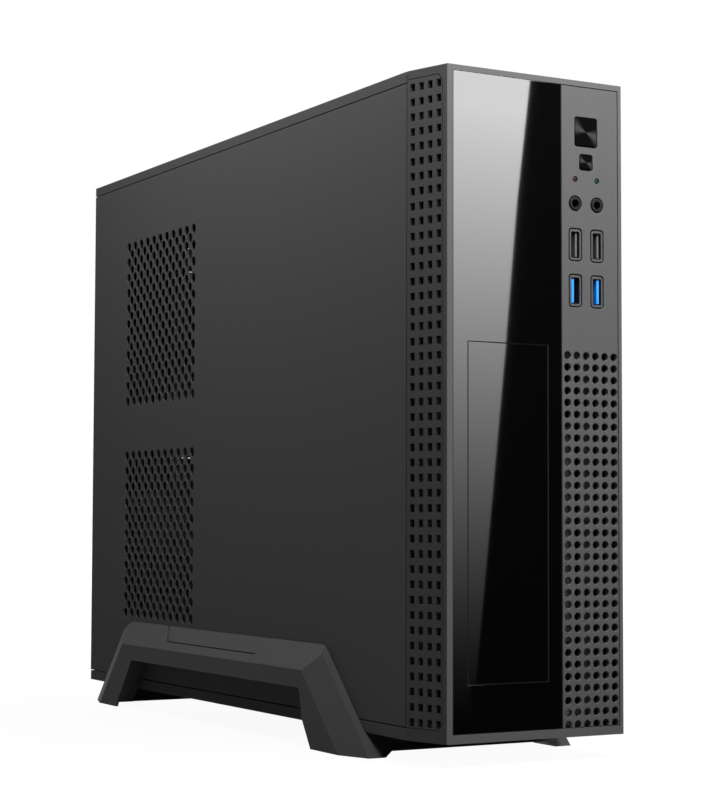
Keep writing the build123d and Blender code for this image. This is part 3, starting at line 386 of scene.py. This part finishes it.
def panelFolds(low, high, sheet):
    folds = []
    for foldZ in (low[2], high[2] - sheet):
        topZ = foldZ + sheet
        folds.append(boxAt("fold", (low[0], low[1], foldZ), (panel["foldX"], high[1], topZ)))
        for start in panel["hookStarts"]:
            hookLow = (panel["foldX"] - panel["overlap"], start, foldZ)
            hookHigh = (panel["hookX"], start + panel["hookWide"], topZ)
            folds.append(boxAt("hook", hookLow, hookHigh))
            toeLow = (panel["toeX"], start - panel["hookToe"], foldZ)
            toeHigh = (panel["hookX"], start + panel["overlap"], topZ)
            folds.append(boxAt("toe", toeLow, toeHigh))
    folds.append(boxAt("frontFold", low, (panel["frontFoldX"], low[1] + sheet, high[2])))
    flangeLow = (low[0], high[1] - sheet, low[2])
    folds.append(boxAt("flange", flangeLow, (panel["flangeX"], high[1], high[2])))
    return folds


def panelCutters():
    cutters = []
    pitch, deep = panel["pitch"], panel["cutDeep"]
    for middle in panel["midZ"]:
        for count in (panel["count"], panel["count"] - 1):
            half = (count - 1) * pitch / 2
            start = (panel["holeX"], panel["midY"] - half, middle - half)
            cutter = rodAt("ventHoles", start, panel["holeRadius"], deep, "X", panel["holeSides"])
            repeat(cutter, count, (0, pitch, 0))
            repeat(cutter, count, (0, 0, pitch))
            cutters.append(cutter)
    for spot in panel["screwZ"]:
        centre = (panel["screwX"], panel["screwY"], spot)
        cutters.append(rodAt("screwHole", centre, panel["screwHole"], deep, "Y", panel["screwSides"]))
    return cutters


def makeSidePanel():
    low, high, sheet = panel["low"], panel["high"], panel["sheet"]
    skin = boxAt("sidePanel", low, high)
    for fold in panelFolds(low, high, sheet):
        boolean(skin, fold, "UNION")
    boolean(skin, joinAll(panelCutters()), "DIFFERENCE")
    finishPiece(skin, "side_panel", "case_paint", "side_panel")


makeSidePanel()
print("side panel made")

# control panel: sharp openings and round perforation
control = {
    "low": (16.3, frontY, 14.35), "high": (46.8, frontY + 2.0, 298.1), "midX": 29.6, "half": 5.9,
    "cutStart": frontY - 2.0, "cutEnd": frontY + 4.0, "cutMid": frontY + 1.0, "cutDeep": 6,
    "powerZ": 278.0, "powerSize": (12.5, 13.5), "resetZ": 264.4, "resetSize": (7.4, 7.4), "buttonRound": 1.3,
    "lightZ": 256.5, "lightRadius": 1.3, "lightSides": 24,
    "jackZ": 245.6, "jackRadius": 3.55, "jackSides": 40,
    "usbZ": (227.1, 206.6), "usbSize": (7.3, 14.9), "usbRound": 1.7,
    "firstX": 19.3, "firstZ": 15.5, "pitchX": 5.04, "pitchZ": 5.23, "columns": 6, "rows": 32,
    "holeRadius": 1.8, "holeSides": 16, "edge": 0.12, "edgeSteps": 1,
}


def slotCutter(name, x, z, size, radius):
    return roundedBlock(name, (x, z), size, radius, control["cutStart"], control["cutEnd"])


def roundCutter(name, x, z, radius, sides):
    return rodAt(name, (x, control["cutMid"], z), radius, control["cutDeep"], "Y", sides)


def makeControlPanel():
    plate = boxAt("controlPanel", control["low"], control["high"])
    midX = control["midX"]
    cutters = [
        slotCutter("powerHole", midX, control["powerZ"], control["powerSize"], control["buttonRound"]),
        slotCutter("resetHole", midX, control["resetZ"], control["resetSize"], control["buttonRound"]),
    ]
    for side in (-1, 1):
        x = midX + side * control["half"]
        for z in control["usbZ"]:
            cutters.append(slotCutter("usbHole", x, z, control["usbSize"], control["usbRound"]))
        for kind in ("light", "jack"):
            radius, sides = control[kind + "Radius"], control[kind + "Sides"]
            cutters.append(roundCutter(kind + "Hole", x, control[kind + "Z"], radius, sides))
    radius, sides = control["holeRadius"], control["holeSides"]
    holes = roundCutter("holes", control["firstX"], control["firstZ"], radius, sides)
    repeat(holes, control["columns"], (control["pitchX"], 0, 0))
    repeat(holes, control["rows"], (0, 0, control["pitchZ"]))
    cutters.append(holes)
    boolean(plate, joinAll(cutters), "DIFFERENCE")
    softenEdges(plate, control["edge"], control["edgeSteps"])
    finishPiece(plate, "case", "control_grey", "control_panel")


makeControlPanel()
print("control panel made")

# pieces that keep the solid's form and get rounded edges: body, finish, width of the rounding
roundings = {
    "side_grille": ("case", "bezel_plastic", 0.15),
    "gloss_panel": ("case", "gloss_black", 0.15),
    "bay_cover": ("bay_cover", "gloss_black", 0.15),
    "rear_wall": ("case", "case_paint", 0.1),
    "right_wall": ("case", "case_paint", 0.25),
    "slot_covers": ("case", "zinc_steel", 0.1),
    "rear_ports": ("case", "port_steel", 0.3),
    "mains_inlet": ("case", "jack_plastic", 0.4),
    "chassis_base": ("case", "case_paint", 0.3),
}
for node, (body, slotName, width) in roundings.items():
    piece = solidCopy(node, node + "Round")
    softenEdges(piece, width)
    finishPiece(piece, body, slotName, node)

# thumbscrews with low heads
thumb = {"headShare": 0.5, "edge": 0.2}
for node in ("thumbscrew_lower", "thumbscrew_upper"):
    piece = solidCopy(node, node + "Round")
    deselectMesh("VERT")
    for vertex in piece.data.vertices:
        vertex.select = vertex.co.y > rearY * mm
    bpy.ops.object.mode_set(mode="EDIT")
    bpy.ops.transform.resize(value=(1, thumb["headShare"], 1), center_override=(0, rearY * mm, 0))
    bpy.ops.object.mode_set(mode="OBJECT")
    softenEdges(piece, thumb["edge"])
    finishPiece(piece, node, "screw_steel", node)

# front frame: the two right hand corners are rounded
bezel = {"cornerX": 50.0, "cornerZ": (10.2, 301.0), "corner": 2.0, "cornerSteps": 5, "edge": 0.35}


def near(value, target):
    return abs(value - target * mm) < meshing["placeGap"]


def makeBezel():
    frameRim = solidCopy("front_bezel", "frontBezel")
    deselectMesh("EDGE")
    for edge in frameRim.data.edges:
        ends = [frameRim.data.vertices[index].co for index in edge.vertices]
        atSide = all(near(end.x, bezel["cornerX"]) for end in ends)
        atCorner = any(all(near(end.z, z) for end in ends) for z in bezel["cornerZ"])
        edge.select = atSide and atCorner
    pick(frameRim)
    bpy.ops.object.mode_set(mode="EDIT")
    bpy.ops.mesh.bevel(offset=bezel["corner"] * mm, segments=bezel["cornerSteps"], affect="EDGES")
    bpy.ops.object.mode_set(mode="OBJECT")
    softenEdges(frameRim, bezel["edge"])
    finishPiece(frameRim, "case", "bezel_plastic", "front_bezel")


makeBezel()

# top cover: its front edge stops short of the frame, which leaves a dark seam
cover = {"seamLow": (-60.0, -176.0, 284.0), "seamHigh": (60.0, -173.6, 305.0), "edge": 0.3}
topCover = solidCopy("chassis_top", "chassisTopRound")
boolean(topCover, boxAt("seam", cover["seamLow"], cover["seamHigh"]), "DIFFERENCE")
softenEdges(topCover, cover["edge"])
finishPiece(topCover, "case", "case_paint", "chassis_top")

# stands keep their shallow ridges, and a fine groove runs under the recess in the upper bevel
stand = {
    "edge": 0.3, "edgeSteps": 2, "ridgeAngle": 12, "smoothAngle": 14,
    "topX": 51.1, "topZ": 47.0, "ridgeX": 60.0, "ridgeZ": 35.3,
    "drop": 9.4, "groove": (1.0, 2.4), "grooveY": (-42.3, 64.1),
}


def makeStand(node, side):
    piece = solidCopy(node, node + "Round")
    softenEdges(piece, stand["edge"], stand["edgeSteps"], stand["ridgeAngle"], stand["smoothAngle"])
    run = Vector((side * (stand["ridgeX"] - stand["topX"]), stand["ridgeZ"] - stand["topZ"])).normalized()
    startY, endY = stand["grooveY"]
    drop = stand["drop"]
    spot = (side * stand["topX"] + run.x * drop, (startY + endY) / 2, stand["topZ"] + run.y * drop)
    size = (stand["groove"][0] * mm, (endY - startY) * mm, stand["groove"][1] * mm)
    clearSelection()
    bpy.ops.mesh.primitive_cube_add(
        size=1, location=[v * mm for v in spot], rotation=(0, -math.atan2(run.y, run.x), 0), scale=size)
    groove = bpy.context.object
    applyPlace(groove)
    boolean(piece, groove, "DIFFERENCE")
    smoothFaces(piece, stand["smoothAngle"])
    finishPiece(piece, "case", "stand_plastic", node)


makeStand("stand_left", -1)
makeStand("stand_right", 1)
print("rounded mouldings made")

# push buttons: rounded cap with a soft edge, retaining flange and stem
buttons = {
    "power_button": {"z": 278.0, "size": (11.7, 12.7), "round": 1.0, "edge": 0.45},
    "reset_button": {"z": 264.4, "size": (6.6, 6.6), "round": 1.0, "edge": 0.4},
}
push = {
    "x": 29.6, "capDeep": 4.0, "edgeSteps": 3,
    "lip": 0.9, "lipStart": 2.1, "lipEnd": 5.0,
    "stemX": (28.1, 31.1), "stemHalf": 1.5, "stemStart": 4.5, "stemEnd": 10.0,
}
for node, button in buttons.items():
    x, z = push["x"], button["z"]
    cap = roundedBlock(
        node + "Cap", (x, z), button["size"], button["round"], frontY, frontY + push["capDeep"])
    softenEdges(cap, button["edge"], push["edgeSteps"])
    wide, tall = button["size"]
    lip = push["lip"]
    lipLow = (x - wide / 2 - lip, frontY + push["lipStart"], z - tall / 2 - lip)
    lipHigh = (x + wide / 2 + lip, frontY + push["lipEnd"], z + tall / 2 + lip)
    boolean(cap, boxAt("flange", lipLow, lipHigh), "UNION")
    stemLow = (push["stemX"][0], frontY + push["stemStart"], z - push["stemHalf"])
    stemHigh = (push["stemX"][1], frontY + push["stemEnd"], z + push["stemHalf"])
    boolean(cap, boxAt("stem", stemLow, stemHigh), "UNION")
    smoothFaces(cap)
    finishPiece(cap, node, "button_black", node)
print("buttons made")

# front sockets: drawn metal shells with rounded mouths, in pairs
socket = {
    "x": (23.7, 35.5), "rows": {"usb2_shells": 227.1, "usb3_shells": 206.6},
    "outer": (6.2, 13.8), "inner": (4.4, 11.7), "round": 1.4, "innerRound": 0.5, "edge": 0.12,
    "shellStart": 0.1, "shellEnd": 16.0, "mouthStart": -1.0, "mouthEnd": 14.5,
}
for node, z in socket["rows"].items():
    shells = []
    for x in socket["x"]:
        shell = roundedBlock(
            "shell", (x, z), socket["outer"], socket["round"],
            frontY + socket["shellStart"], frontY + socket["shellEnd"])
        mouth = roundedBlock(
            "mouth", (x, z), socket["inner"], socket["innerRound"],
            frontY + socket["mouthStart"], frontY + socket["mouthEnd"])
        boolean(shell, mouth, "DIFFERENCE")
        softenEdges(shell, socket["edge"])
        shells.append(shell)
    pair = joinAll(shells)
    pair.name = node + "Drawn"
    finishPiece(pair, "case", "port_steel", node)

# contact tongues: grey in the upper pair, blue in the lower
tongues = {
    "usb2_tongues": {"slot": "tongue_grey", "x": (24.7, 36.5), "half": 0.5, "z": 227.1, "start": 1.0},
    "usb3_tongues": {"slot": "tongue_blue", "x": (22.6, 36.2), "half": 0.65, "z": 206.6, "start": 0.6},
}
blade = {"tall": 5.3, "end": 14.5, "edge": 0.15}
for node, tongue in tongues.items():
    strips = []
    for x in tongue["x"]:
        low = (x - tongue["half"], frontY + tongue["start"], tongue["z"] - blade["tall"])
        high = (x + tongue["half"], frontY + blade["end"], tongue["z"] + blade["tall"])
        strip = boxAt("blade", low, high)
        softenEdges(strip, blade["edge"])
        strips.append(strip)
    blades = joinAll(strips)
    blades.name = node + "Blades"
    finishPiece(blades, "case", tongue["slot"], node)
print("sockets made")

# audio jacks: turned nose with a lip, square body, plug bore
jack = {
    "x": (23.7, 35.5), "z": 245.6, "nodes": ("audio_jack_left", "audio_jack_right"),
    "ring": 3.1, "ringY": 1.2, "ringLong": 2.8, "ringSides": 48, "edge": 0.5, "edgeSteps": 3,
    "body": 4.0, "bodyStart": 2.0, "bodyEnd": 16.0,
    "bore": 1.8, "boreSides": 32, "deep": 14.0, "boreLead": 0.5,
}
for index, x in enumerate(jack["x"]):
    z, half = jack["z"], jack["body"]
    nose = rodAt(
        "audioJack" + str(index + 1), (x, frontY + jack["ringY"], z),
        jack["ring"], jack["ringLong"], "Y", jack["ringSides"])
    softenEdges(nose, jack["edge"], jack["edgeSteps"])
    bodyLow = (x - half, frontY + jack["bodyStart"], z - half)
    bodyHigh = (x + half, frontY + jack["bodyEnd"], z + half)
    boolean(nose, boxAt("jackBody", bodyLow, bodyHigh), "UNION")
    boreY = frontY + jack["deep"] / 2 - jack["boreLead"]
    boreLong = jack["deep"] + 2 * jack["boreLead"]
    hole = rodAt("jackHole", (x, boreY, z), jack["bore"], boreLong, "Y", jack["boreSides"])
    boolean(nose, hole, "DIFFERENCE")
    smoothFaces(nose)
    finishPiece(nose, "case", "jack_plastic", jack["nodes"][index])

# light pipes with a domed end
pipe = {
    "x": (23.7, 35.5), "z": 256.5, "radius": 1.1, "sides": 24, "start": 0.2, "end": 16.0,
    "dome": 0.5, "domeSteps": 3,
    "slots": ("light_red", "light_green"), "nodes": ("drive_light", "power_light"),
}
for index, x in enumerate(pipe["x"]):
    middle = frontY + (pipe["start"] + pipe["end"]) / 2
    lens = rodAt(
        "lightPipe" + str(index + 1), (x, middle, pipe["z"]),
        pipe["radius"], pipe["end"] - pipe["start"], "Y", pipe["sides"])
    softenEdges(lens, pipe["dome"], pipe["domeSteps"])
    finishPiece(lens, "case", pipe["slots"][index], pipe["nodes"][index])
print("jacks and lights made")

# camera solved from the case edges in the photograph
view = {
    "place": (-489.6, -914.5, 106.4), "yaw": 29.49, "pitch": 3.346, "roll": 0.176,
    "lens": 89.40, "sensor": 36, "clipStart": 0.01,
}
clearSelection()
turn = (math.radians(90 + view["pitch"]), math.radians(-view["roll"]), math.radians(-view["yaw"]))
bpy.ops.object.camera_add(location=[v * mm for v in view["place"]], rotation=turn)
camera = bpy.context.object
camera.data.lens = view["lens"]
camera.data.sensor_width = view["sensor"]
camera.data.clip_start = view["clipStart"]
scene.camera = camera

# soft lamps, in metres and watts
lamps = {
    "side": {"place": (-0.155, -0.20, 0.48), "aim": (-0.05, -0.18, 0.12), "size": (0.8, 0.12), "power": 3.2},
    "front": {"place": (0.12, -0.44, 0.60), "aim": (0.02, -0.2, 0.18), "size": (0.24, 0.16), "power": 5.2},
    "rear": {"place": (0.32, 0.80, 0.55), "aim": (0.0, 0.19, 0.16), "size": (0.5, 0.3), "power": 5.0},
    "right": {"place": (0.75, 0.0, 0.55), "aim": (0.05, 0.0, 0.14), "size": (0.8, 0.3), "power": 7.0},
}


def addLamp(name, place, aim, size, power):
    clearSelection()
    bpy.ops.object.light_add(type="AREA", location=place)
    light = bpy.context.object
    light.name = name
    light.data.shape = "RECTANGLE"
    light.data.size = size[0]
    light.data.size_y = size[1]
    light.data.energy = power
    light.visible_camera = False
    light.rotation_euler = (Vector(aim) - Vector(place)).to_track_quat("-Z", "Y").to_euler()


for side, lamp in lamps.items():
    addLamp(side + "Lamp", lamp["place"], lamp["aim"], lamp["size"], lamp["power"])

# white floor and world, and one reflected card for the glossy front
studio = {
    "worldLevel": 0.05,
    "floorSize": 12, "floorMatte": 0.2, "floorNear": 0.85, "floorFar": 1.2, "floorGlow": 1.1,
    "cardY": -1.197, "cardLow": (0.30, -0.60), "cardHigh": (1.40, 1.00), "cardThick": 4,
    "edgeX": 0.6505, "edgeZ": 0.2864, "edgeLean": 0.114,
    "fadeLow": -0.12, "fadeTop": 0.534, "fadePower": 2.1, "cardLevel": 15.0,
}


# rays that should meet a white background
def seenRays(nodes, links):
    rays = nodes.new("ShaderNodeLightPath")
    direct = mathStep(nodes, links, "MAXIMUM", rays.outputs["Is Camera Ray"], rays.outputs["Is Glossy Ray"])
    return mathStep(nodes, links, "MAXIMUM", direct, rays.outputs["Is Transmission Ray"])


def emptySheet(name):
    sheet = bpy.data.materials.new(name)
    sheet.use_nodes = True
    sheet.node_tree.nodes.clear()
    return sheet, sheet.node_tree.nodes, sheet.node_tree.links


def floorMaterial():
    sheet, nodes, links = emptySheet("floorSheet")
    out = nodes.new("ShaderNodeOutputMaterial")
    matte = nodes.new("ShaderNodeBsdfDiffuse")
    grey = studio["floorMatte"]
    matte.inputs["Color"].default_value = (grey, grey, grey, 1)
    glow = nodes.new("ShaderNodeEmission")
    glow.inputs["Strength"].default_value = studio["floorGlow"]
    place = nodes.new("ShaderNodeTexCoord")
    reach = nodes.new("ShaderNodeVectorMath")
    reach.operation = "LENGTH"
    links.new(place.outputs["Object"], reach.inputs[0])
    away = mathStep(nodes, links, "DIVIDE", reach.outputs["Value"], studio["floorFar"], True)
    rise = mathStep(nodes, links, "MULTIPLY", away, 1.0 - studio["floorNear"])
    share = mathStep(nodes, links, "ADD", rise, studio["floorNear"])
    mix = nodes.new("ShaderNodeMixShader")
    links.new(mathStep(nodes, links, "MULTIPLY", seenRays(nodes, links), share), mix.inputs["Fac"])
    links.new(matte.outputs["BSDF"], mix.inputs[1])
    links.new(glow.outputs["Emission"], mix.inputs[2])
    links.new(mix.outputs["Shader"], out.inputs["Surface"])
    return sheet


clearSelection()
bpy.ops.mesh.primitive_plane_add(size=studio["floorSize"], location=(0, 0, 0))
floor = bpy.context.object
floor.name = "floor"
floor.data.materials.append(floorMaterial())
floor.visible_glossy = False


# bright left of a leaning edge, fading downwards
def cardMaterial():
    sheet, nodes, links = emptySheet("cardSheet")
    out = nodes.new("ShaderNodeOutputMaterial")
    glow = nodes.new("ShaderNodeEmission")
    split = splitPlace(nodes, links, "Object")
    lean = mathStep(nodes, links, "MULTIPLY", split["Z"], studio["edgeLean"])
    edge = mathStep(nodes, links, "ADD", lean, studio["edgeX"] - studio["edgeZ"] * studio["edgeLean"])
    left = mathStep(nodes, links, "LESS_THAN", split["X"], edge)
    raised = mathStep(nodes, links, "SUBTRACT", split["Z"], studio["fadeLow"])
    share = mathStep(nodes, links, "DIVIDE", raised, studio["fadeTop"] - studio["fadeLow"], True)
    fade = mathStep(nodes, links, "POWER", share, studio["fadePower"])
    level = mathStep(nodes, links, "MULTIPLY", fade, studio["cardLevel"])
    links.new(mathStep(nodes, links, "MULTIPLY", left, level), glow.inputs["Strength"])
    links.new(glow.outputs["Emission"], out.inputs["Surface"])
    return sheet


low, high = studio["cardLow"], studio["cardHigh"]
cardBack = studio["cardY"] / mm
cardFront = cardBack - studio["cardThick"]
card = boxAt("card", (low[0] / mm, cardFront, low[1] / mm), (high[0] / mm, cardBack, high[1] / mm))
card.data.materials.append(cardMaterial())
card.visible_camera = False
card.visible_diffuse = False
card.visible_shadow = False


# the world is white where it is seen and dim as a light
def makeWorld():
    world = bpy.data.worlds.new("studioWorld")
    scene.world = world
    world.use_nodes = True
    nodes = world.node_tree.nodes
    links = world.node_tree.links
    nodes.clear()
    out = nodes.new("ShaderNodeOutputWorld")
    mix = nodes.new("ShaderNodeMixShader")
    links.new(seenRays(nodes, links), mix.inputs["Fac"])
    for slot, level in ((1, studio["worldLevel"]), (2, 1)):
        sky = nodes.new("ShaderNodeBackground")
        sky.inputs["Color"].default_value = (1, 1, 1, 1)
        sky.inputs["Strength"].default_value = level
        links.new(sky.outputs["Background"], mix.inputs[slot])
    links.new(mix.outputs["Shader"], out.inputs["Surface"])


makeWorld()
print("studio made")
